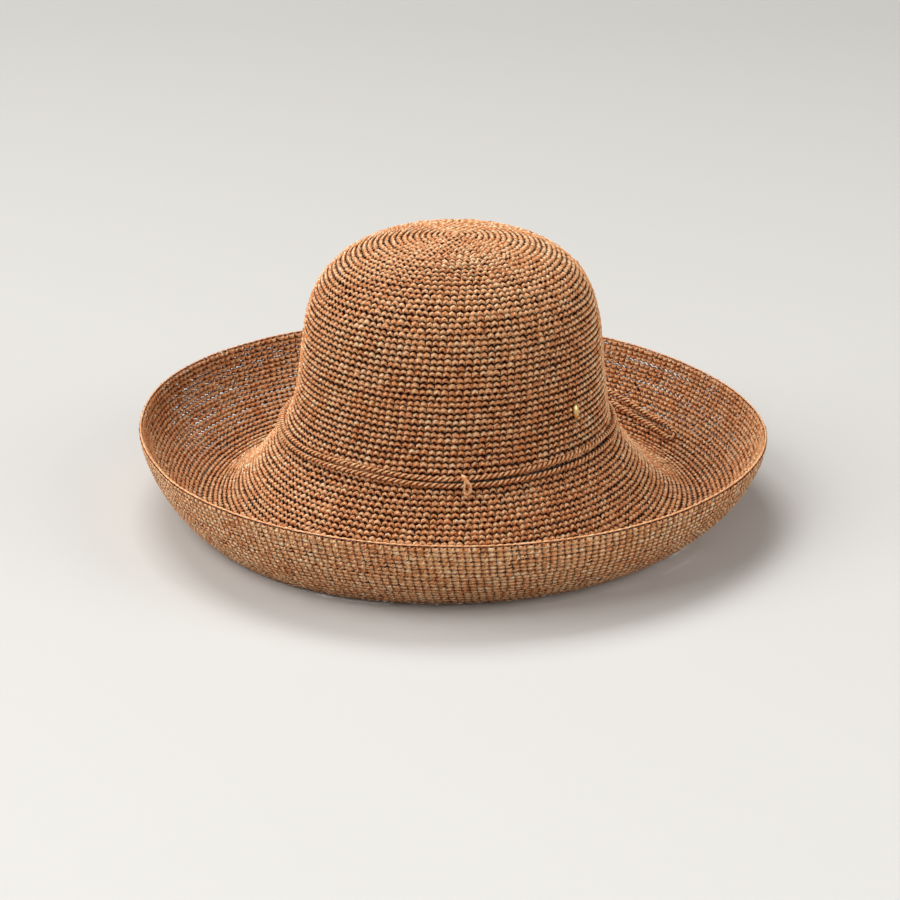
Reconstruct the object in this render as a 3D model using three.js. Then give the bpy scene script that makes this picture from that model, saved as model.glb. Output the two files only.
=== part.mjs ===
// Crocheted raffia sun hat: a round dome crown, a wide brim that falls from the crown and rolls up
// to its rim, and a twisted raffia cord wound twice round the foot of the crown.
// Units are millimetres, +Z is up, and +X is to the right as the hat is seen from the front.
// The origin is on the surface that the hat rests on, under the middle of the brim.
// The front of the hat faces -Y, and azimuths are counted from +X towards +Y.

import * as THREE from 'three';
import { mergeVertices } from 'three/addons/utils/BufferGeometryUtils.js';

// Driving sizes of the shell
const wall = 2.4; // thickness of the crocheted fabric
const joinRadius = 92.2; // middle of the wall where the crown turns into the brim
const joinHeight = 46; // height of that line over the seat
const joinGap = 0.3; // clearance where two stretches of the wall meet
const crownHeight = 110; // from the join line to the top of the dome
const crownShift = -1.7; // the crown stands this far from the middle of the brim, along X
const crownLean = 4; // the top of the dome leans this far along +X
const valleyRadius = 142; // where the brim is lowest and touches the surface
const seatWidth = 8; // flat band of the underside that the hat rests on
const seatDip = 0.35; // how far that band is pressed into the wall
const rimRadius = 179; // middle of the wall at the rim
const rimHeight = 45; // height of the rim over the seat

// Driving sizes of the trim
const cordDiameter = 2.5; // one round of twisted raffia cord
const cordClearance = 0.3; // between the cord and what it lies on
const cordRest = 0.35; // the cord leans on the wall this far under its middle, in cordDiameters
const wrapAzimuth = 277; // thin raffia bound round both cords at the front
const wrapWidth = 3.4;
const wrapWall = 0.9;
const tieAzimuth = 49; // where the cord is tied at the back, with its loop
const tieWidth = 7;
const tieWall = 2.2;
const studAzimuth = 321; // plain oval metal stud on the side of the crown
const studHeight = 26.5; // over the join line
const studWidth = 4.8;
const studLength = 9;
const studDepth = 1.5;

// How finely the walls and cords are faceted
const aroundSteps = 60;
const crownSteps = 15;
const cordSides = 8;
const bindingArcSteps = 6;
const loopSteps = 60;
const studSides = 20;

// Colours of the pieces
const strawColour = 0xb98a5c;
const cordColour = 0xa87448;
const goldColour = 0xd2aa5c;

const degree = Math.PI / 180;

// Side of the dome: height as a share of crownHeight, radius as a share of joinRadius, and how
// far the round has moved along X as a share of crownLean
const domeTable = [
  { height: 0.0, radius: 1.0, lean: 0.0 },
  { height: 0.06, radius: 0.972, lean: 0.25 },
  { height: 0.13, radius: 0.95, lean: 0.45 },
  { height: 0.28, radius: 0.923, lean: 0.6 },
  { height: 0.45, radius: 0.901, lean: 0.65 },
  { height: 0.58, radius: 0.88, lean: 0.7 },
  { height: 0.7, radius: 0.841, lean: 0.78 },
  { height: 0.79, radius: 0.779, lean: 0.86 },
  { height: 0.865, radius: 0.688, lean: 0.95 },
  { height: 0.92, radius: 0.583, lean: 1.0 },
  { height: 0.96, radius: 0.45, lean: 1.0 },
  { height: 0.985, radius: 0.27, lean: 1.0 },
  { height: 1.0, radius: 0.0, lean: 1.0 },
];

// Fall of the brim from the join towards its lowest ring: out is a share of the distance from
// joinRadius to the valley, height a share of joinHeight
const fallTable = [
  { out: 0.0, height: 1.0 },
  { out: 0.1, height: 0.84 },
  { out: 0.21, height: 0.68 },
  { out: 0.35, height: 0.48 },
  { out: 0.5, height: 0.29 },
  { out: 0.69, height: 0.11 },
  { out: 0.87, height: 0.015 },
];

// Rise of the brim from its lowest ring to the rim: out is a share of the distance from the
// valley to the rim, height a share of rimHeight
const riseTable = [
  { out: 0.17, height: 0.02 },
  { out: 0.4, height: 0.15 },
  { out: 0.63, height: 0.34 },
  { out: 0.82, height: 0.57 },
  { out: 0.94, height: 0.79 },
  { out: 1.0, height: 1.0 },
];

// The brim isn't quite even. Each row gives the rim's radius as a share of rimRadius, its height
// as a share of rimHeight, and the lowest ring as a share of valleyRadius, at an azimuth
const brimTable = [
  { azimuth: 0, radius: 0.998, height: 0.955, valley: 1.01 },
  { azimuth: 30, radius: 0.982, height: 0.965, valley: 1.0 },
  { azimuth: 60, radius: 0.982, height: 1.01, valley: 0.995 },
  { azimuth: 90, radius: 1.008, height: 1.03, valley: 1.0 },
  { azimuth: 120, radius: 1.034, height: 1.0, valley: 1.01 },
  { azimuth: 150, radius: 1.027, height: 1.01, valley: 1.0 },
  { azimuth: 180, radius: 0.984, height: 1.01, valley: 0.98 },
  { azimuth: 210, radius: 0.972, height: 1.02, valley: 1.01 },
  { azimuth: 240, radius: 1.0, height: 1.055, valley: 1.03 },
  { azimuth: 270, radius: 1.004, height: 1.03, valley: 1.012 },
  { azimuth: 300, radius: 0.993, height: 1.0, valley: 1.0 },
  { azimuth: 330, radius: 0.99, height: 0.99, valley: 0.985 },
];

// Middles of the two rounds of cord over the join line, as shares of cordDiameter
const cordTable = [
  { azimuth: 0, lower: 0.0, upper: 1.3 },
  { azimuth: 30, lower: 0.1, upper: 1.3 },
  { azimuth: 60, lower: 0.1, upper: 1.25 },
  { azimuth: 90, lower: 0.1, upper: 1.3 },
  { azimuth: 120, lower: 0.1, upper: 1.3 },
  { azimuth: 150, lower: 0.1, upper: 1.3 },
  { azimuth: 180, lower: 0.0, upper: 1.2 },
  { azimuth: 210, lower: 0.1, upper: 1.35 },
  { azimuth: 240, lower: 0.5, upper: 1.8 },
  { azimuth: 270, lower: -0.2, upper: 1.0 },
  { azimuth: 300, lower: 0.0, upper: 1.75 },
  { azimuth: 330, lower: 0.1, upper: 2.1 },
];

// A smooth closed curve through one column of a table whose rows are evenly spaced in azimuth
function roundColumn(table, column, azimuth) {
  const place = (((azimuth % 360) + 360) % 360) / 360 * table.length;
  const row = Math.floor(place);
  const t = place - row;
  const at = (k) => table[(row + k + table.length) % table.length][column];
  const [a, b, c, d] = [at(-1), at(0), at(1), at(2)];
  return b + 0.5 * t * (c - a + t * (2 * a - 5 * b + 4 * c - d + t * (3 * (b - c) + d - a)));
}

function smoothStep(t) {
  const s = Math.min(1, Math.max(0, t));
  return s * s * (3 - 2 * s);
}

// Middle line of the crown's wall, from its foot to the top of the dome
function crownLine() {
  const points = domeTable.map(
    (row) => new THREE.Vector2(row.radius * joinRadius, joinHeight + row.height * crownHeight),
  );
  return new THREE.SplineCurve(points).getSpacedPoints(crownSteps);
}

// A column of the dome's table at a share of the crown's height
function domeColumn(column, share) {
  const next = domeTable.findIndex((row) => row.height >= share);
  if (next <= 0) {
    return domeTable.at(next)[column];
  }
  const [low, high] = [domeTable[next - 1], domeTable[next]];
  const t = (share - low.height) / (high.height - low.height);
  return low[column] + t * (high[column] - low[column]);
}

// Middle line of the brim's wall at an azimuth, from the join to the rim
function brimLine(azimuth) {
  const valley = valleyRadius * roundColumn(brimTable, 'valley', azimuth);
  const radius = rimRadius * roundColumn(brimTable, 'radius', azimuth);
  const height = rimHeight * roundColumn(brimTable, 'height', azimuth);
  const low = wall / 2 - seatDip;
  const fall = fallTable.map(
    (row) => new THREE.Vector2(
      joinRadius + row.out * (valley - joinRadius),
      low + row.height * (joinHeight - low),
    ),
  );
  const rise = riseTable.map(
    (row) => new THREE.Vector2(
      valley + row.out * (radius - valley),
      low + row.height * (height - low),
    ),
  );
  const seat = [-1, 1].map((side) => new THREE.Vector2(valley + side * seatWidth / 2, low));
  return [...fall, ...seat, ...rise];
}

// The line moved sideways by an offset, to the right of its direction of travel
function offsetLine(line, offset) {
  return line.map((point, i) => {
    const before = line[Math.max(0, i - 1)];
    const after = line[Math.min(line.length - 1, i + 1)];
    const along = after.clone().sub(before).normalize();
    return new THREE.Vector2(point.x + along.y * offset, point.y - along.x * offset);
  });
}

// Closed section of the crown's wall: up the outside to the axis and down the inside
function crownSection() {
  const line = crownLine();
  const outside = offsetLine(line, wall / 2);
  const inside = offsetLine(line, -wall / 2);
  const foot = joinHeight + joinGap / 2;
  outside[0].set(joinRadius + wall / 2, foot);
  inside[0].set(joinRadius - wall / 2, foot);
  outside[outside.length - 1].x = 0;
  inside[inside.length - 1].x = 0;
  return [...outside.reverse(), ...inside];
}

// Both faces of the brim's wall at an azimuth, each from the join to the rim
function brimFaces(azimuth) {
  const line = brimLine(azimuth);
  const top = offsetLine(line, -wall / 2);
  const under = offsetLine(line, wall / 2);
  const start = joinHeight - joinGap / 2;
  top[0].set(joinRadius + wall / 2, start);
  under[0].set(joinRadius - wall / 2, start);
  const seated = under.map((point) => new THREE.Vector2(point.x, Math.max(0, point.y)));
  return { top, under: seated };
}

// Row of the brim's line at the outer edge of its seat, where its inner stretch ends
const seatEdge = fallTable.length + 1;

// Closed section of the inner stretch of the brim: out along the top, back along the underside
function innerSection(azimuth) {
  const { top, under } = brimFaces(azimuth);
  const section = [...top.slice(0, seatEdge + 1), ...under.slice(0, seatEdge + 1).reverse()];
  return [...section, section[0].clone()];
}

// Closed section of the outer stretch, from the seat to the rim
function outerSection(azimuth) {
  const { top, under } = brimFaces(azimuth);
  top[seatEdge].x += joinGap;
  under[seatEdge].x += joinGap;
  const section = [...top.slice(seatEdge), ...under.slice(seatEdge).reverse()];
  return [...section, section[0].clone()];
}

// How far the middle of a round lies from the middle of the brim, along X
function centreShift(radius, height) {
  if (height > joinHeight) {
    return crownShift + crownLean * domeColumn('lean', (height - joinHeight) / crownHeight);
  }
  return crownShift * (1 - smoothStep((radius - joinRadius) / (rimRadius - joinRadius)));
}

// A shell turned from a section that changes with azimuth
function turnedShell(section) {
  const geometry = new THREE.LatheGeometry(section(0), aroundSteps);
  const position = geometry.getAttribute('position');
  const count = section(0).length;
  for (let step = 0; step <= aroundSteps; step++) {
    const azimuth = 360 * (step % aroundSteps) / aroundSteps;
    section(azimuth).forEach((point, j) => {
      const x = point.x * Math.cos(azimuth * degree) + centreShift(point.x, point.y);
      const y = point.x * Math.sin(azimuth * degree);
      position.setXYZ(step * count + j, x, y, point.y);
    });
  }
  return tidySolid(facesOut(geometry));
}

// Turning the profile about Z instead of Y leaves its faces pointing in, so they are turned over
function facesOut(geometry) {
  const index = geometry.getIndex().array;
  for (let i = 0; i < index.length; i += 3) {
    [index[i], index[i + 1]] = [index[i + 1], index[i]];
  }
  return geometry;
}

function tidySolid(geometry) {
  geometry.deleteAttribute('normal');
  geometry.deleteAttribute('uv');
  const solid = mergeVertices(geometry, 1e-4);
  solid.computeVertexNormals();
  return solid;
}

// Radius of the wall's outer face about the crown's middle, a little above or below the join
function outerRadius(height) {
  if (height >= joinHeight) {
    return joinRadius * domeColumn('radius', (height - joinHeight) / crownHeight) + wall / 2;
  }
  const out = fallTable[1].out * (valleyRadius - joinRadius);
  const down = (1 - fallTable[1].height) * joinHeight;
  return joinRadius + wall / 2 + (joinHeight - height) * out / down;
}

// Middle of a round of cord at an azimuth, which lies against the foot of the crown
function cordPlace(column, azimuth) {
  const height = joinHeight + cordDiameter * roundColumn(cordTable, column, azimuth);
  const touch = outerRadius(height - cordRest * cordDiameter);
  return { radius: touch + cordDiameter / 2 + cordClearance, height };
}

// A closed round of cord: a ring bent to lie at its own height all the way round
function cordRound(column) {
  const middle = cordPlace(column, 0).radius;
  const geometry = new THREE.TorusGeometry(middle, cordDiameter / 2, cordSides, aroundSteps);
  const position = geometry.getAttribute('position');
  const point = new THREE.Vector3();
  for (let i = 0; i < position.count; i++) {
    point.fromBufferAttribute(position, i);
    const azimuth = Math.atan2(point.y, point.x);
    const { radius, height } = cordPlace(column, azimuth / degree);
    const r = radius + Math.hypot(point.x, point.y) - middle;
    const x = r * Math.cos(azimuth) + centreShift(r, height);
    position.setXYZ(i, x, r * Math.sin(azimuth), height + point.z);
  }
  return tidySolid(geometry);
}

// Lowest turn about a round of cord that still clears the wall under it, at a reach from its middle
function lowestTurn(middle, reach) {
  for (let turn = -90; turn < 0; turn += 5) {
    const radius = middle.radius + reach * Math.cos(turn * degree);
    const height = middle.height + reach * Math.sin(turn * degree);
    if (radius > outerRadius(height) + cordClearance) {
      return turn;
    }
  }
  return 0;
}

// A binding over both rounds of cord, open towards the crown that it is sewn to
function binding(azimuth, width, thickness) {
  const lower = cordPlace('lower', azimuth);
  const upper = cordPlace('upper', azimuth);
  const inner = cordDiameter / 2 + cordClearance;
  const outer = inner + thickness;
  const back = outerRadius(upper.height) + cordClearance;
  const low = lowestTurn(lower, outer) * degree;
  const shape = new THREE.Shape();
  shape.moveTo(back, upper.height + outer);
  shape.absarc(upper.radius, upper.height, outer, 90 * degree, 0, true);
  shape.absarc(lower.radius, lower.height, outer, 0, low, true);
  shape.absarc(lower.radius, lower.height, inner, low, 0, false);
  shape.absarc(upper.radius, upper.height, inner, 0, 90 * degree, false);
  shape.lineTo(back, upper.height + inner);
  const options = { depth: width, bevelEnabled: false, curveSegments: bindingArcSteps };
  const geometry = new THREE.ExtrudeGeometry(shape, options);
  geometry.translate(0, 0, -width / 2);
  geometry.rotateX(90 * degree);
  geometry.rotateZ(azimuth * degree);
  geometry.translate(centreShift(upper.radius, upper.height), 0, 0);
  return tidySolid(geometry);
}

// The free loop of cord comes out of the tie, falls onto the back of the brim and lies along its
// lowest ring. Its points are the middle of the cord.
const loopRoute = [
  [62.8, 76.1, 47.0],
  [64.9, 78.5, 46.9],
  [66.6, 81.1, 44.2],
  [67.0, 83.0, 38.9],
  [68.2, 86.3, 28.9],
  [70.0, 91.5, 18.6],
  [74.5, 103.5, 8.0],
  [79.0, 115.0, 3.9],
  [83.0, 123.0, 6.6],
  [88.5, 128.0, 12.5],
  [96.0, 127.5, 17.1],
  [103.0, 121.5, 16.2],
  [109.5, 114.0, 14.7],
  [115.5, 106.0, 13.1],
  [121.5, 97.0, 12.0],
  [128.0, 88.0, 11.6],
  [132.5, 80.5, 11.1],
  [134.0, 75.0, 9.7],
  [133.0, 73.0, 8.1],
  [130.0, 75.0, 7.0],
  [126.0, 82.5, 7.4],
  [120.5, 92.0, 8.2],
  [114.0, 101.5, 9.2],
  [106.5, 111.0, 10.7],
  [99.5, 119.5, 12.3],
  [93.0, 122.0, 10.2],
  [88.0, 118.5, 5.9],
  [83.5, 110.5, 3.9],
  [79.0, 98.5, 8.7],
  [74.0, 88.5, 18.6],
  [71.7, 83.8, 28.6],
  [70.1, 80.7, 38.8],
  [69.1, 78.9, 44.2],
  [67.3, 76.4, 46.9],
  [65.2, 74.0, 47.0],
];

function cordLoop() {
  const points = loopRoute.map(([x, y, z]) => new THREE.Vector3(x, y, z));
  const section = new THREE.Shape();
  for (let i = 0; i < cordSides; i++) {
    const turn = 360 * degree * i / cordSides;
    const [x, y] = [cordDiameter / 2 * Math.cos(turn), cordDiameter / 2 * Math.sin(turn)];
    if (i === 0) {
      section.moveTo(x, y);
    } else {
      section.lineTo(x, y);
    }
  }
  const extrudePath = new THREE.CatmullRomCurve3(points);
  const options = { steps: loopSteps, extrudePath, bevelEnabled: false };
  return tidySolid(new THREE.ExtrudeGeometry(section, options));
}

// Profile of the stud: out is a share of half its width or length, height a share of its depth
const studTable = [
  { out: 0.0, height: 0.0 },
  { out: 0.86, height: 0.0 },
  { out: 1.0, height: 0.3 },
  { out: 0.86, height: 0.66 },
  { out: 0.5, height: 0.93 },
  { out: 0.0, height: 1.0 },
];

// A plain oval boss that lies against the crown
function stud() {
  const profile = studTable.map((row) => new THREE.Vector2(row.out, row.height));
  const geometry = new THREE.LatheGeometry(profile, studSides);
  geometry.scale(studWidth / 2, studDepth, studLength / 2);
  const height = joinHeight + studHeight;
  const low = outerRadius(height - studLength / 2);
  const high = outerRadius(height + studLength / 2);
  geometry.rotateX(Math.atan2(low - high, studLength));
  geometry.translate(0, (low + high) / 2 + cordClearance, height);
  geometry.rotateZ((studAzimuth - 90) * degree);
  geometry.translate(centreShift(high, height), 0, 0);
  return tidySolid(geometry);
}

function piece(name, geometry, color, roughness, metalness) {
  const material = new THREE.MeshStandardMaterial({ color, roughness, metalness });
  const mesh = new THREE.Mesh(geometry, material);
  mesh.name = name;
  return mesh;
}

const shell = new THREE.Group();
shell.add(piece('crown', turnedShell(crownSection), strawColour, 0.75, 0));
shell.add(piece('brim_inner', turnedShell(innerSection), strawColour, 0.75, 0));
shell.add(piece('brim_outer', turnedShell(outerSection), strawColour, 0.75, 0));

const trim = new THREE.Group();
trim.add(piece('cord_lower', cordRound('lower'), cordColour, 0.7, 0));
trim.add(piece('cord_upper', cordRound('upper'), cordColour, 0.7, 0));
trim.add(piece('front_wrap', binding(wrapAzimuth, wrapWidth, wrapWall), strawColour, 0.7, 0));
trim.add(piece('rear_tie', binding(tieAzimuth, tieWidth, tieWall), cordColour, 0.7, 0));
trim.add(piece('cord_loop', cordLoop(), cordColour, 0.7, 0));
trim.add(piece('side_stud', stud(), goldColour, 0.3, 1));

const hat = new THREE.Group();
hat.add(shell, trim);

export default hat;
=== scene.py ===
import math

import bpy
import numpy as np
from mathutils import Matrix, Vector
from mathutils.bvhtree import BVHTree


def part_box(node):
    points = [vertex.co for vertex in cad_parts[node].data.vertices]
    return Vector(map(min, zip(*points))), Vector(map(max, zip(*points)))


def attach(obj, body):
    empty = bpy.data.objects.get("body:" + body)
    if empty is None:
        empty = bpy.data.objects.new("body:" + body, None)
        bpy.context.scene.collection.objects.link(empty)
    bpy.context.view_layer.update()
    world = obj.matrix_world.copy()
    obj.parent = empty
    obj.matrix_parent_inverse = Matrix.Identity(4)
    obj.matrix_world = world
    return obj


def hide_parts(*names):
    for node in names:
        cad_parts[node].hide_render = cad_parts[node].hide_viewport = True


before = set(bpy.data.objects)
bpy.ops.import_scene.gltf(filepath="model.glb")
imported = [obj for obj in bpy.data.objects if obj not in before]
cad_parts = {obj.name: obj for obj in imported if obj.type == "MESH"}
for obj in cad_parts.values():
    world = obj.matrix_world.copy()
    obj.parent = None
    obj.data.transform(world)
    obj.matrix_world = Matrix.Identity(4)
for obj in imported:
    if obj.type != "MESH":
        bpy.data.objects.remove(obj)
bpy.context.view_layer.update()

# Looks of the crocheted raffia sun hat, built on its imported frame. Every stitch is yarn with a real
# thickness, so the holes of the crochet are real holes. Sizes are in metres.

mm = 0.001

# Camera, in front of the hat and above it
CAMERA_TARGET = (-0.3 * mm, 0, 28.46 * mm)
CAMERA_DISTANCE = 1.6064
CAMERA_ELEVATION = 21.4655    # degrees above the floor
SENSOR_WIDTH = 36             # in millimetres, as the lens
LENS = 112.73

# Lamps of the studio: name, place, size and power
LAMPS = [
    ("key", (-0.7, 1.9, 3.6), 2.0, 112),
    ("left", (-2.5, -0.7, 2.4), 3.0, 120),
    ("right", (2.7, -0.7, 1.4), 2.2, 45),
    ("front", (0.2, -2.6, 1.8), 2.0, 8),
]
ROOM_LIGHT = (1, 0.985, 0.96, 1)
ROOM_STRENGTH = 0.17

# Colours as a screen shows them, from 0 to 255. Those of the raffia are the painted shade on the side
# of the yarn that lies hidden in the fabric, then its dark, middle and light fibres
STRAW = [(72, 20, 6), (128, 51, 19), (235, 153, 91), (255, 236, 192)]
CORD_STRAW = [(72, 20, 6), (128, 51, 19), (231, 149, 88), (255, 232, 184)]
PALE_GOLD = (224, 190, 128)
# The floor is darker far off and lighter near: painted shade and painted light, as the lamps' light
# falls off
PAINTED_SHADE_FAR_FLOOR = (180, 178, 174)
PAINTED_LIGHT_NEAR_FLOOR = (207, 205, 201)
FLOOR_PAINTED_FALLOFF = (1.2, -0.7)      # along Y, where the floor has its far colour, of painted shade, and its near colour, of painted light

# Sizes of the crochet
CROWN_ROUND = 3.3 * mm        # from one round of stitches to the next, on the crown
BRIM_ROUND = 3.0 * mm         # the same on the brim, on average
BRIM_TIGHTER = 0.08           # rounds are this share higher at the join and lower at the rim
CROWN_STITCH = 3.85 * mm      # width of a stitch on the crown
RIM_STITCH = 4.0 * mm         # width of a stitch at the rim
INCREASE = 12                 # stitches that are added at a time, on the larger rounds
OPEN_SHARE = 0.04             # share of the stitches that let light through
YARN_DEPTH = 1.2 * mm         # middle of the fabric lies this far under its outer face
FIBRE_LEAN = 0.12             # turns round the yarn that its fibres make in each millimetre
AXIS_X = 2.3 * mm             # where the top of the dome is, along X
RIM_STITCHES = 268            # slip stitches in the chain along the rim
ROUND_SHIFT = -0.08           # how far each round is turned against the last, in stitches
WIDE_LEGS = 1.1               # width of the legs on the crown and the last round of the brim

# How much stitches differ, as standard deviations
SWAY = 0.05                   # slow rise and fall of a round
BULK = 0.12                   # thickness of the yarn, as a share
LIFT = 0.13                   # distance out of the fabric, in millimetres
SLIDE = 0.06                  # place along the round, in stitches
EASE = 0.06                   # width of the legs, as a share
SHADE = 0.18                  # darker or lighter, where the whole range is 1
OPEN_LEG = 0.6                # width of the legs of an open stitch, as a share

# Sizes of the trim
PLY_RADIUS = 0.72 * mm        # one of the cord's two strands
CORD_TWIST = 6.6 * mm         # length of cord in which a strand goes round once
PLY_OUT = 0.92                # strand's middle lies so many strand radii out of the cord's
SWELL = 0.08                  # share by which a strand grows thicker and thinner
SWELL_LENGTH = 9 * mm         # length in which it does so once
TAPER = 0.4 * mm              # length in which a strand's end grows thin
CORD_STATIONS = 60            # places round a held cord at which its CAD node has corners
CORD_POINTS = 880             # points along the middle of a held cord
CORD_CENTRE = np.mean(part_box("cord_lower"), axis=0)

SEED = 7

# Outputs of the Texture Coordinate, Attribute and Separate XYZ nodes, and the inputs and output
# that a Mix node has for colours
OBJECT_PLACE = 3
FACTOR = 2
ALONG_Y = 1
MIX_FACTOR, MIX_FIRST, MIX_SECOND = 0, 6, 7
MIX_RESULT = 2


def add_camera():
    target, elevation = Vector(CAMERA_TARGET), math.radians(CAMERA_ELEVATION)
    away = Vector((0, -math.cos(elevation), math.sin(elevation)))
    camera = bpy.data.objects.new("camera", bpy.data.cameras.new("camera"))
    bpy.context.collection.objects.link(camera)
    camera.location = target + CAMERA_DISTANCE * away
    camera.rotation_euler = (target - camera.location).to_track_quat("-Z", "Y").to_euler()
    camera.data.sensor_width = SENSOR_WIDTH
    camera.data.lens = LENS
    bpy.context.scene.camera = camera


# Shader maths as Python expressions, and one method for every other node

class Socket:
    def __init__(self, tree, socket):
        self.tree = tree
        self.socket = socket

    def math(self, operation, *values):
        return self.tree.node("ShaderNodeMath", {"operation": operation}, values)

    def __add__(self, other):
        return self.math("ADD", self, other)

    def __radd__(self, other):
        return self.math("ADD", other, self)

    def __sub__(self, other):
        return self.math("SUBTRACT", self, other)

    def __rsub__(self, other):
        return self.math("SUBTRACT", other, self)

    def __mul__(self, other):
        return self.math("MULTIPLY", self, other)

    def __rmul__(self, other):
        return self.math("MULTIPLY", other, self)


class Material:
    """A material whose nodes are made by one method"""

    def __init__(self, name):
        self.material = bpy.data.materials.new(name)
        self.material.use_nodes = True
        self.nodes = self.material.node_tree.nodes
        self.links = self.material.node_tree.links
        self.shader = self.nodes["Principled BSDF"]

    def node(self, kind, settings=None, values=(), output=0):
        node = self.nodes.new(kind)
        for name, value in (settings or {}).items():
            if name == "stops":
                while len(node.color_ramp.elements) < len(value):
                    node.color_ramp.elements.new(1)
                for element, (position, color) in zip(node.color_ramp.elements, value):
                    element.position = position
                    element.color = (*color, 1)
            else:
                setattr(node, name, value)
        named = values.items() if isinstance(values, dict) else enumerate(values)
        for key, value in named:
            self.feed(node.inputs[key], value)
        return Socket(self, node.outputs[output])

    def feed(self, socket, value):
        if isinstance(value, Socket):
            self.links.new(value.socket, socket)
        else:
            socket.default_value = value

    def set(self, **values):
        for name, value in values.items():
            self.feed(self.shader.inputs[name.replace("_", " ")], value)
        return self.material

    def mix(self, factor, first, second):
        settings = {"data_type": "RGBA", "blend_type": "MIX"}
        values = {MIX_FACTOR: factor, MIX_FIRST: first, MIX_SECOND: second}
        return self.node("ShaderNodeMix", settings, values, output=MIX_RESULT)


def linear(red, green, blue):
    """A colour given as a screen shows it, from 0 to 255, as the shader wants it"""
    return tuple((c / 255 / 12.92) if c <= 10 else ((c / 255 + 0.055) / 1.055) ** 2.4
                 for c in (red, green, blue))


def raffia(name, colours):
    """Raffia strands: fine fibres along the yarn, each stitch a little darker or lighter, and
    painted shade in the deepest colour on the side that lies hidden in the fabric"""
    # deep is the colour of the painted shade
    deep, dark, middle, light = [linear(*colour) for colour in colours]
    straw = Material(name)
    strand = straw.node("ShaderNodeUVMap", {"uv_map": "strand"})
    along = straw.node("ShaderNodeMapping", values={"Vector": strand, "Scale": (0.22, 7, 1)})
    fibre = straw.node("ShaderNodeTexNoise", values={"Vector": along, "Scale": 1.0, "Detail": 3.0})
    place = straw.node("ShaderNodeTexCoord", output=OBJECT_PLACE)
    patch = straw.node("ShaderNodeTexNoise", values={"Vector": place, "Scale": 45.0, "Detail": 2.0})
    tint = straw.node("ShaderNodeAttribute", {"attribute_name": "tint"}, output=FACTOR)
    lit = straw.node("ShaderNodeAttribute", {"attribute_name": "open"}, output=FACTOR)
    tone = fibre * 2.0 + tint * 0.2 + patch * 0.2 - 0.64
    stops = [(0.12, dark), (0.5, middle), (0.9, light)]
    colour = straw.node("ShaderNodeValToRGB", {"stops": stops}, [tone])
    # Painted shade: the deepest colour takes over where the yarn keeps little of its lit colour
    painted_shade_mask = straw.node("ShaderNodeMapRange", {"clamp": True},
                        {"Value": lit, "From Min": 0.28, "From Max": 0.9})
    colour = straw.mix(painted_shade_mask, (*deep, 1), colour)
    bump = straw.node("ShaderNodeBump", values={"Strength": 0.6, "Distance": 0.3 * mm,
                                                "Height": fibre})
    return straw.set(Base_Color=colour, Roughness=0.6 - fibre * 0.2, Normal=bump,
                     Specular_IOR_Level=0.2)


# The wall of the hat, read from the frame's solids

class Wall:
    """A stretch of wall as a grid of points on its outer face: one row for each azimuth, from
    the side nearer the top of the dome to the side nearer the rim"""

    def __init__(self, points):
        self.points = points
        around = np.roll(points, -1, 0) - np.roll(points, 1, 0)
        down = np.gradient(points, axis=1)
        normal = np.cross(down, around)
        if np.ptp(points[:, 0], axis=0).max() < mm:
            normal[:, 0] = normal[:, 1].mean(0)
        self.normal = normal / np.linalg.norm(normal, axis=2, keepdims=True)
        steps = np.linalg.norm(np.diff(points, axis=1), axis=2)
        self.length = steps.sum(1).mean()

    def at(self, turn, share):
        """Points and outward normals at azimuths in turns and shares of the stretch's length"""
        rows, columns = self.points.shape[:2]
        a = (turn % 1) * rows
        s = np.clip(share, 0, 1) * (columns - 1)
        i, j = np.floor(a).astype(int), np.minimum(np.floor(s).astype(int), columns - 2)
        p, q = (a - i)[:, None], (s - j)[:, None]
        i, k = i % rows, (i + 1) % rows

        def blend(grid):
            first = grid[i, j] * (1 - q) + grid[i, j + 1] * q
            second = grid[k, j] * (1 - q) + grid[k, j + 1] * q
            return first * (1 - p) + second * p

        beyond = (share - np.clip(share, 0, 1))[:, None] * self.length
        ahead = blend(np.gradient(self.points, axis=1))
        ahead /= np.linalg.norm(ahead, axis=1, keepdims=True)
        return blend(self.points) + beyond * ahead, blend(self.normal)


def evened(points, passes):
    """Lines of points spaced evenly along their length and then smoothed, ends kept"""
    steps = np.linalg.norm(np.diff(points, axis=1), axis=2)
    place = np.concatenate([np.zeros((len(points), 1)), np.cumsum(steps, 1)], 1)
    count = points.shape[1]
    even = np.empty_like(points)
    for row in range(len(points)):
        want = np.linspace(0, place[row, -1], count)
        for axis in range(3):
            even[row, :, axis] = np.interp(want, place[row], points[row, :, axis])
    for _ in range(passes):
        even[:, 1:-1] = (even[:, :-2] + 2 * even[:, 1:-1] + even[:, 2:]) / 4
        even = (np.roll(even, 1, 0) + 2 * even + np.roll(even, -1, 0)) / 4
    return even


def solid_tree(name):
    """A search tree over a CAD node"""
    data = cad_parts[name].data
    faces = [list(face.vertices) for face in data.polygons]
    return BVHTree.FromPolygons([v.co.copy() for v in data.vertices], faces)


def longest_smooth_run(hits):
    """The hits on the wall's face alone, without the cut edges that the rays meet beside it"""
    normals = np.array([normal for _, normal in hits])
    edges = np.flatnonzero((normals[1:] * normals[:-1]).sum(1) < math.cos(math.radians(40))) + 1
    runs = np.split(np.array([place for place, _ in hits]), edges)
    return max(runs, key=len)


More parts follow.
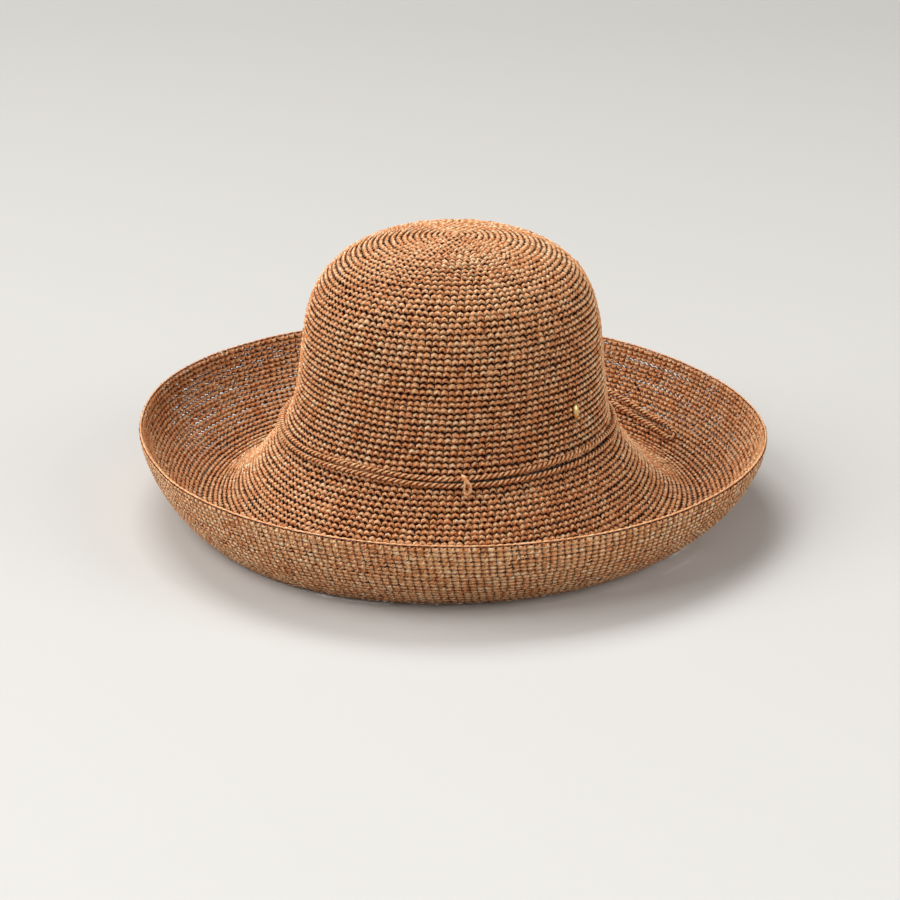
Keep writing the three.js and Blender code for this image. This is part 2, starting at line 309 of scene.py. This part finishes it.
def read_wall(names, slopes, eye_height, inward, azimuths=240, rays=420, count=150):
    """The outer face of nodes that follow each other, as rays between two slopes in degrees find
    it, from an eye on the axis of the dome, or towards that eye where inward"""
    trees = [solid_tree(name) for name in names]
    eye = Vector((AXIS_X, 0, eye_height))
    lines = []
    for azimuth in 2 * math.pi * np.arange(azimuths) / azimuths:
        runs = []
        for tree in trees:
            hits = []
            for slope in np.radians(np.linspace(*slopes, rays)):
                level = math.cos(slope)
                ray = Vector((math.cos(azimuth) * level, math.sin(azimuth) * level,
                              math.sin(slope)))
                origin, direction = (eye + ray, -ray) if inward else (eye, ray)
                place, normal = tree.ray_cast(origin, direction)[:2]
                if place is not None:
                    hits.append((place, normal))
            runs.append(longest_smooth_run(hits))
        line = np.concatenate(runs)
        place = np.concatenate([[0], np.cumsum(np.linalg.norm(np.diff(line, axis=0), axis=1))])
        want = np.linspace(0, place[-1], count)
        lines.append(np.stack([np.interp(want, place, line[:, k]) for k in range(3)], 1))
    return Wall(evened(np.array(lines), 8))


# Yarn: tubes along rows of points, gathered into one mesh

# The two faces that close each end of a six-sided tube, as corners of its first and last ring
END_CAPS = [(3, 2, 1, 0), (5, 4, 3, 0), (0, 1, 2, 3), (0, 3, 4, 5)]


class Yarn:
    """Many tubes of yarn that become one piece"""

    def __init__(self, sides=4):
        self.sides = sides
        self.vertices, self.faces, self.tints, self.painted_lights = [], [], [], []
        self.strands, self.bake = [], []
        self.count = 0

    def add(self, middle, out, thick, across, tint=0.5, closed=True, sides=None, facing=0,
            clear=1.0):
        """A tube along middle. thick is its radius towards out, and across at right angles.
        facing is 1 where the side away from out lies hidden in the fabric, -1 where the side
        towards out does, and 0 where none does; that hidden side gets painted shade. clear is how
        much of its colour the yarn keeps lit along its length, lower where painted shade fills a
        hollow"""
        sides = sides or self.sides
        if closed:
            ahead = np.roll(middle, -1, 0) - np.roll(middle, 1, 0)
        else:
            ahead = np.gradient(middle, axis=0)
        ahead /= np.linalg.norm(ahead, axis=1, keepdims=True)
        first = out - (out * ahead).sum(1, keepdims=True) * ahead
        first /= np.linalg.norm(first, axis=1, keepdims=True)
        second = np.cross(ahead, first)
        turn = 2 * np.pi * np.arange(sides) / sides
        rings = len(middle)
        thick = np.broadcast_to(thick, rings)[:, None, None]
        across = np.broadcast_to(across, rings)[:, None, None]
        ring = (middle[:, None] + thick * np.cos(turn)[None, :, None] * first[:, None]
                + across * np.sin(turn)[None, :, None] * second[:, None])
        lengths = np.arange(rings if closed else rings - 1)
        j, k = [a.ravel() for a in np.meshgrid(lengths, np.arange(sides), indexing="ij")]
        station, side = np.stack([j, j, j + 1, j + 1], 1), np.stack([k, k + 1, k + 1, k], 1)
        # Painted shade round the tube: each corner keeps a share of its lit colour, less on the side
        # hidden in the fabric
        edge = np.cos(turn + np.pi / sides)
        near, far = [edge + np.cos(turn + step) for step in (0, 2 * np.pi / sides)]
        painted_side_light = 0.5 + 0.25 * np.sign(facing) * np.stack([near, far, far, near], 1)
        lit = np.tile(1 - abs(facing) * (1 - painted_side_light), (len(j) // sides, 1))
        bake = np.stack([station / rings, side / sides], 2)
        if not closed:
            ends = np.array([[0], [0], [rings - 1], [rings - 1]])
            station = np.concatenate([station, np.repeat(ends, 4, 1)])
            side = np.concatenate([side, END_CAPS])
            lit = np.concatenate([lit, np.ones((4, 4))])
            angle = turn[np.array(END_CAPS)]
            along = rings - 1 + np.array([[0.25], [0.25], [0.75], [0.75]]) + 0.2 * np.cos(angle)
            caps = np.stack([along / rings, 0.5 + 0.4 * np.sin(angle)], 2)
            bake = np.concatenate([bake, caps])
        self.vertices.append(ring.reshape(-1, 3))
        self.faces.append(station % rings * sides + side % sides + self.count)
        self.tints.append(np.repeat(np.broadcast_to(tint, rings), sides))
        self.painted_lights.append(lit * np.broadcast_to(clear, rings)[station % rings])
        steps = np.linalg.norm(np.roll(middle, -1, 0) - middle, axis=1)
        place = (np.concatenate([[0], np.cumsum(steps)]) / mm)[station]
        self.strands.append(np.stack([place, side / sides + FIBRE_LEAN * place], 2))
        self.bake.append(bake)
        self.count += rings * sides

    def build(self, name, material):
        vertices, faces = np.concatenate(self.vertices), np.concatenate(self.faces)
        mesh = bpy.data.meshes.new(name)
        vertices[:, 2] = np.maximum(vertices[:, 2], 0.1 * mm)
        mesh.vertices.add(len(vertices))
        mesh.vertices.foreach_set("co", vertices.ravel())
        mesh.loops.add(faces.size)
        mesh.loops.foreach_set("vertex_index", faces.ravel())
        mesh.polygons.add(len(faces))
        mesh.polygons.foreach_set("loop_start", np.arange(0, faces.size, 4))
        mesh.update(calc_edges=True)
        mesh.polygons.foreach_set("use_smooth", np.ones(len(faces), bool))
        # tint is each stitch's own tone; the corner layer is painted light, the share of lit colour
        # that is kept
        layers = (("tint", "POINT", self.tints), ("open", "CORNER", self.painted_lights))
        for layer, domain, values in layers:
            attribute = mesh.attributes.new(layer, "FLOAT", domain)
            attribute.data.foreach_set("value", np.concatenate(values).astype(np.float32).ravel())
        tubes = len(self.bake)
        rows = [(uv + [[[0, row]]]) / [[[1, tubes]]] for row, uv in enumerate(self.bake)]
        for layer, uvs in (("OFBake", rows), ("strand", self.strands)):
            data = mesh.uv_layers.new(name=layer).data
            data.foreach_set("uv", np.concatenate(uvs).astype(np.float32).ravel())
        piece = bpy.data.objects.new(name, mesh)
        bpy.context.collection.objects.link(piece)
        mesh.materials.append(material)
        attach(piece, "root")
        return piece


# Crochet stitches

# The knobs of a stitch on the outer face, for the share of its width: how far up the round, how
# far out of the middle of the fabric in millimetres, the yarn's radius out and across, and how
# much of its colour stays lit, where less is painted shade in the hollows between stitches
KNOBS = [
    dict(along=0.00, up=0.16, out=-0.05, thick=0.62, across=0.80, open=0.58),
    dict(along=0.22, up=0.58, out=0.48, thick=0.92, across=1.14, open=0.95),
    dict(along=0.50, up=0.76, out=0.74, thick=1.02, across=1.30, open=1.00),
    dict(along=0.78, up=0.60, out=0.44, thick=0.92, across=1.10, open=0.90),
]

# The two legs of a stitch, which lie flat and close together on the inner face. They are narrow
# behind one side of the knob, which leaves a small hollow there, darkened further by painted shade
LEGS = [
    dict(along=-0.12, up=0.80, out=-0.84, thick=0.62, across=1.66, open=1.00),
    dict(along=0.16, up=0.54, out=-0.80, thick=0.60, across=1.46, open=0.95),
    dict(along=0.38, up=0.24, out=-0.50, thick=0.50, across=0.92, open=0.30),
    dict(along=0.60, up=0.54, out=-0.80, thick=0.60, across=1.46, open=0.95),
]


def column(table, name, count):
    """A column of a stitch's table, repeated for a round of stitches"""
    return np.tile([row[name] for row in table], count)


def crochet_round(yarn, wall, top, bottom, stitches, shift, random, leg_width):
    """One round of stitches between two shares of the wall's length. Its upper edge is nearer
    the top of the dome"""
    wave = 2 * np.pi * np.arange(stitches) / stitches
    sway = sum(random.normal(0, SWAY) * np.sin(k * wave + random.uniform(0, 6.3))
               for k in range(2, 9))
    bulk = 1 + BULK * random.normal(size=stitches)
    lift = LIFT * random.normal(size=stitches)
    slide = SLIDE * random.normal(size=stitches)
    opened = random.random(stitches) < OPEN_SHARE
    ease = np.where(opened, OPEN_LEG, 1 + EASE * random.normal(size=stitches))
    tint = np.clip(0.5 + SHADE * random.normal(size=stitches), 0, 1)
    for table, wide, sides in ((KNOBS, 1.0, 4), (LEGS, 0.8, 3)):
        each = len(table)
        spread = [np.repeat(a, each) for a in (sway, bulk, lift, slide, tint, ease)]
        along = np.repeat(np.arange(stitches), each) + column(table, "along", stitches)
        turn = (along + spread[3] * wide + shift) / stitches
        up = column(table, "up", stitches) + spread[0] * 0.35 + 0.35 * spread[2] * wide
        share = bottom + (top - bottom) * up
        place, normal = wall.at(turn, share)
        out = (column(table, "out", stitches) + spread[2] * wide) * mm - YARN_DEPTH
        middle = place + normal * out[:, None]
        bulge = mm * (1 + (spread[1] - 1) * wide)
        thick = column(table, "thick", stitches) * bulge
        across = column(table, "across", stitches) * bulge
        if table is LEGS:
            across *= leg_width * spread[5]
        # Painted shade on the side of each knob and leg that lies hidden in the fabric
        facing = 1 if table is KNOBS else -1
        yarn.add(middle, normal, thick, across, spread[4], sides=sides, facing=facing,
                 clear=column(table, "open", stitches))


def crochet(wall, names, nodes, material, height, tighter, last_width, leg_width, seed):
    """All the rounds of a stretch of wall, shared among a few pieces. The legs of its last round
    are wider where that is the rim"""
    random = np.random.default_rng(seed)
    rounds = round(wall.length / height)
    even = np.linspace(0, 1, rounds + 1)
    edges = even + tighter * even * (1 - even)
    counts = []
    for share in (edges[1:] + edges[:-1]) / 2:
        ring = wall.at(np.linspace(0, 1, 90), np.full(90, share))[0]
        length = np.linalg.norm(np.diff(ring, axis=0), axis=1).sum()
        count = length / (CROWN_STITCH + share * (last_width - CROWN_STITCH))
        step = INCREASE if count > 4 * INCREASE else 6
        counts.append(max(6, step * round(count / step)))
    ends = np.cumsum(counts) / sum(counts)
    pieces = []
    for part, name in enumerate(names):
        yarn = Yarn()
        for i in range(rounds):
            if part / len(names) < ends[i] <= (part + 1) / len(names):
                at_rim = tighter and i == rounds - 1
                crochet_round(yarn, wall, edges[i], edges[i + 1], counts[i], ROUND_SHIFT * i,
                              random, WIDE_LEGS if at_rim else leg_width)
        piece = yarn.build(name, material)
        pieces.append(piece)
    for piece in pieces:
        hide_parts(*nodes)


def make_shell():
    straw = raffia("raffia_straw", STRAW)
    crown = read_wall(["crown"], (90, -30), 75 * mm, inward=True)
    brim = read_wall(["brim_inner", "brim_outer"], (-81, -66), 500 * mm, inward=False)
    crochet(crown, ["crown_top_stitches", "crown_side_stitches", "crown_foot_stitches"],
            ["crown"], straw, CROWN_ROUND, 0, CROWN_STITCH, WIDE_LEGS, SEED)
    crochet(brim, ["brim_slope_stitches", "brim_seat_stitches", "brim_roll_stitches"],
            ["brim_inner", "brim_outer"], straw, BRIM_ROUND, BRIM_TIGHTER, RIM_STITCH, 1,
            SEED + 1)
    rim_bead(brim, straw)


# The rim's bead, the twisted cords, the bindings and the stud

def rim_bead(brim, material):
    """A smooth chain of slip stitches along the rim"""
    bend = [-0.12, 0.02, 0.10, 0.02]
    points = RIM_STITCHES * len(bend)
    turn = np.arange(points) / points
    place, normal = brim.at(turn, np.full(points, 1.0))
    lower = brim.at(turn, np.full(points, 0.98))[0]
    ahead = place - lower
    ahead /= np.linalg.norm(ahead, axis=1, keepdims=True)
    pulse = np.tile(bend, RIM_STITCHES)
    middle = place - normal * YARN_DEPTH + ahead * (0.25 + pulse[:, None] * 0.8) * mm
    yarn = Yarn(sides=6)
    yarn.add(middle, ahead, (0.34 + pulse) * mm, (0.55 + pulse) * mm, 0.45)
    yarn.build("rim_bead", material)


def ring_of(name):
    """The middle of a held cord's node, as evenly turned points"""
    co = np.array([v.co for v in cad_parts[name].data.vertices])
    middle = co.mean(0)
    turn = np.arctan2(co[:, 1] - middle[1], co[:, 0] - middle[0]) / (2 * np.pi)
    station = np.round(turn * CORD_STATIONS).astype(int) % CORD_STATIONS
    sums = np.stack([np.bincount(station, co[:, k], CORD_STATIONS) for k in range(3)], 1)
    ring = sums / np.bincount(station, minlength=CORD_STATIONS)[:, None]
    waves = np.fft.rfft(ring, axis=0)
    return np.fft.irfft(waves, CORD_POINTS, axis=0) * CORD_POINTS / CORD_STATIONS


def smooth_path(points, spacing):
    """A smooth line through points, with new points about spacing apart"""
    points = np.array(points, float)
    ends = [2 * points[0] - points[1], *points, 2 * points[-1] - points[-2]]
    line = []
    for a, b, c, d in zip(ends, ends[1:], ends[2:], ends[3:]):
        steps = max(2, round(np.linalg.norm(c - b) / spacing))
        for t in np.arange(steps) / steps:
            bend = 2 * a - 5 * b + 4 * c - d + t * (3 * (b - c) + d - a)
            line.append(b + 0.5 * t * (c - a + t * bend))
    return np.array(line + [points[-1]])


def twist(yarn, path, out, closed, tint=0.5, seed=1):
    """Two strands laid round each other along path"""
    random = np.random.default_rng(seed)
    after = np.roll(path, -1, 0) if closed else np.append(path[1:], path[-1:], 0)
    before = np.roll(path, 1, 0) if closed else np.append(path[:1], path[:-1], 0)
    ahead = after - before
    ahead /= np.linalg.norm(ahead, axis=1, keepdims=True)
    first = out - (out * ahead).sum(1, keepdims=True) * ahead
    first /= np.linalg.norm(first, axis=1, keepdims=True)
    second = np.cross(ahead, first)
    place = np.concatenate([[0], np.cumsum(np.linalg.norm(np.diff(path, axis=0), axis=1))])
    turns = place / CORD_TWIST
    if closed:
        turns *= round(turns[-1]) / turns[-1] * (1 - 1 / len(path))
    for ply in (0, 0.5):
        angle = -2 * np.pi * (turns + ply)[:, None]
        sideways = np.cos(angle) * first + np.sin(angle) * second
        middle = path + PLY_OUT * PLY_RADIUS * sideways
        swell = 1 + SWELL * np.sin(2 * np.pi * place / SWELL_LENGTH + random.uniform(0, 6.3))
        thick = PLY_RADIUS * swell
        if not closed:
            from_end = np.minimum(place, place[-1] - place)
            thick = thick * np.minimum(1, from_end / TAPER + 0.3)
        # Painted shade on the side of each strand that lies towards the middle of the cord
        yarn.add(middle, middle - path, thick, thick * 1.05, tint, closed, facing=1)


def held_cords(material):
    for name in ("cord_lower", "cord_upper"):
        path = ring_of(name)
        yarn = Yarn(sides=6)
        twist(yarn, path, path - path.mean(0), True, seed=len(name))
        piece = yarn.build("twisted_" + name, material)
        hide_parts(name)


# The free loop's middle, from the tie and back to it, in millimetres, as the frame has it
LOOP_ROUTE = [
    (62.8, 76.1, 47.0), (64.9, 78.5, 46.9), (66.6, 81.1, 44.2), (67.0, 83.0, 38.9),
    (68.2, 86.3, 28.9), (70.0, 91.5, 18.6), (74.5, 103.5, 8.0), (79.0, 115.0, 3.9),
    (83.0, 123.0, 6.6), (88.5, 128.0, 12.5), (96.0, 127.5, 17.1), (103.0, 121.5, 16.2),
    (109.5, 114.0, 14.7), (115.5, 106.0, 13.1), (121.5, 97.0, 12.0), (128.0, 88.0, 11.6),
    (132.5, 80.5, 11.1), (134.0, 75.0, 9.7), (133.0, 73.0, 8.1), (130.0, 75.0, 7.0),
    (126.0, 82.5, 7.4), (120.5, 92.0, 8.2), (114.0, 101.5, 9.2), (106.5, 111.0, 10.7),
    (99.5, 119.5, 12.3), (93.0, 122.0, 10.2), (88.0, 118.5, 5.9), (83.5, 110.5, 3.9),
    (79.0, 98.5, 8.7), (74.0, 88.5, 18.6), (71.7, 83.8, 28.6), (70.1, 80.7, 38.8),
    (69.1, 78.9, 44.2), (67.3, 76.4, 46.9), (65.2, 74.0, 47.0),
]


def free_loop(material):
    path = smooth_path(np.array(LOOP_ROUTE) * mm, 0.7 * mm)
    yarn = Yarn(sides=6)
    twist(yarn, path, np.broadcast_to([0.0, 0.0, 1.0], path.shape), False, 0.8, seed=3)
    piece = yarn.build("twisted_cord_loop", material)
    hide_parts("cord_loop")


def around(node):
    """Middle of a binding's node, and the directions along the cord, up and out of the crown"""
    low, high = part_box(node)
    middle = (np.array(low) + np.array(high)) / 2
    out = np.array([middle[0] - CORD_CENTRE[0], middle[1] - CORD_CENTRE[1], 0])
    out /= np.linalg.norm(out)
    return middle, np.cross([0, 0, 1], out), np.array([0, 0, 1.0]), out


# The strand bound over the cords in front: along the cord, up and out, in millimetres
FRONT_STRAND = [
    (-4.6, 4.7, 0.3), (-3.4, 3.6, 1.6), (-2.2, 2.0, 2.8), (-1.2, 0.6, 3.2), (-0.4, -0.8, 3.4),
    (-0.2, -2.3, 3.5), (-0.5, -3.9, 3.5), (-1.3, -5.2, 3.8), (-2.2, -5.6, 4.0), (-3.0, -4.9, 3.9),
    (-3.3, -3.4, 3.5), (-3.3, -1.6, 3.2), (-3.1, 0.2, 3.1), (-2.9, 2.0, 2.9), (-2.7, 3.2, 1.6),
    (-2.5, 3.8, 0.3),
]


def front_binding(material):
    middle, along, up, out = around("front_wrap")
    route = np.array(FRONT_STRAND) * mm
    path = smooth_path(route @ np.array([along, up, out]) + middle, 0.5 * mm)
    yarn = Yarn(sides=6)
    share = np.linspace(0, 1, len(path))
    width = np.interp(share, [0, 0.06, 0.3, 0.45, 1], [0.5, 1.4, 1.3, 0.9, 0.75])
    # Painted shade on the side of the strand that lies against the cords
    yarn.add(path, np.broadcast_to(out, path.shape), 0.6 * mm * width, 0.95 * mm * width, 0.8,
             closed=False, facing=1)
    piece = yarn.build("front_strand", material)
    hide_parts("front_wrap")


def rear_binding(material):
    """Six turns of strand round both cords, where the loop comes out"""
    middle, along, up, out = around("rear_tie")
    low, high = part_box("rear_tie")
    turns, points_each, thickness = 6, 18, 1.25 * mm
    t = np.linspace(0, turns, turns * points_each)[:, None]
    tall = (high[2] - low[2]) / 2 - thickness / 2
    deep = 2.3 * mm
    path = (middle + along * (t - turns / 2) * thickness * 0.95
            + up * tall * np.sin(2 * np.pi * t) + out * deep * np.cos(2 * np.pi * t))
    yarn = Yarn(sides=6)
    yarn.add(path, path - middle, 0.5 * mm, 0.66 * mm, 0.6, closed=False)
    piece = yarn.build("rear_strand", material)
    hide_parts("rear_tie")


def make_stud():
    gold = Material("pale_gold")
    place = gold.node("ShaderNodeTexCoord", output=OBJECT_PLACE)
    grain = gold.node("ShaderNodeTexNoise",
                      values={"Vector": place, "Scale": 900.0, "Detail": 2.0})
    bump = gold.node("ShaderNodeBump",
                     values={"Strength": 0.15, "Distance": 0.05 * mm, "Height": grain})
    gold.set(Base_Color=(*linear(*PALE_GOLD), 1), Metallic=1.0, Roughness=0.22 + grain * 0.15,
             Normal=bump)
    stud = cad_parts["side_stud"]
    stud.data.materials.clear()
    stud.data.materials.append(gold.material)


# Floor and light

def add_stage():
    bpy.ops.mesh.primitive_plane_add(size=12, location=(0, 0, 0))
    floor = bpy.context.object
    floor.name = "floor"
    paper = Material("pale_floor")
    place = paper.node("ShaderNodeTexCoord", output=OBJECT_PLACE)
    depth = paper.node("ShaderNodeSeparateXYZ", values=[place], output=ALONG_Y)
    # The floor's colour fades from painted shade far off to painted light near the camera
    near = paper.node("ShaderNodeMapRange", {"clamp": True},
                      {"Value": depth, "From Min": FLOOR_PAINTED_FALLOFF[0], "From Max": FLOOR_PAINTED_FALLOFF[1]})
    tone = paper.mix(near, (*linear(*PAINTED_SHADE_FAR_FLOOR), 1), (*linear(*PAINTED_LIGHT_NEAR_FLOOR), 1))
    floor.data.materials.append(paper.set(Base_Color=tone, Roughness=0.9))
    world = bpy.data.worlds.new("studio")
    world.use_nodes = True
    background = world.node_tree.nodes["Background"]
    background.inputs["Color"].default_value = ROOM_LIGHT
    background.inputs["Strength"].default_value = ROOM_STRENGTH
    bpy.context.scene.world = world
    bpy.context.scene.view_settings.view_transform = "Standard"
    for name, place, size, power in LAMPS:
        lamp = bpy.data.lights.new(name, "AREA")
        lamp.energy = power
        lamp.size = size
        light = bpy.data.objects.new(name, lamp)
        light.location = place
        light.rotation_euler = (-Vector(place)).to_track_quat("-Z", "Y").to_euler()
        bpy.context.collection.objects.link(light)


# The order of making
bpy.ops.object.select_all(action="DESELECT")
add_camera()
cord_straw = raffia("raffia_cord", CORD_STRAW)
free_loop(cord_straw)
held_cords(cord_straw)
front_binding(cord_straw)
rear_binding(cord_straw)
make_stud()
make_shell()
add_stage()
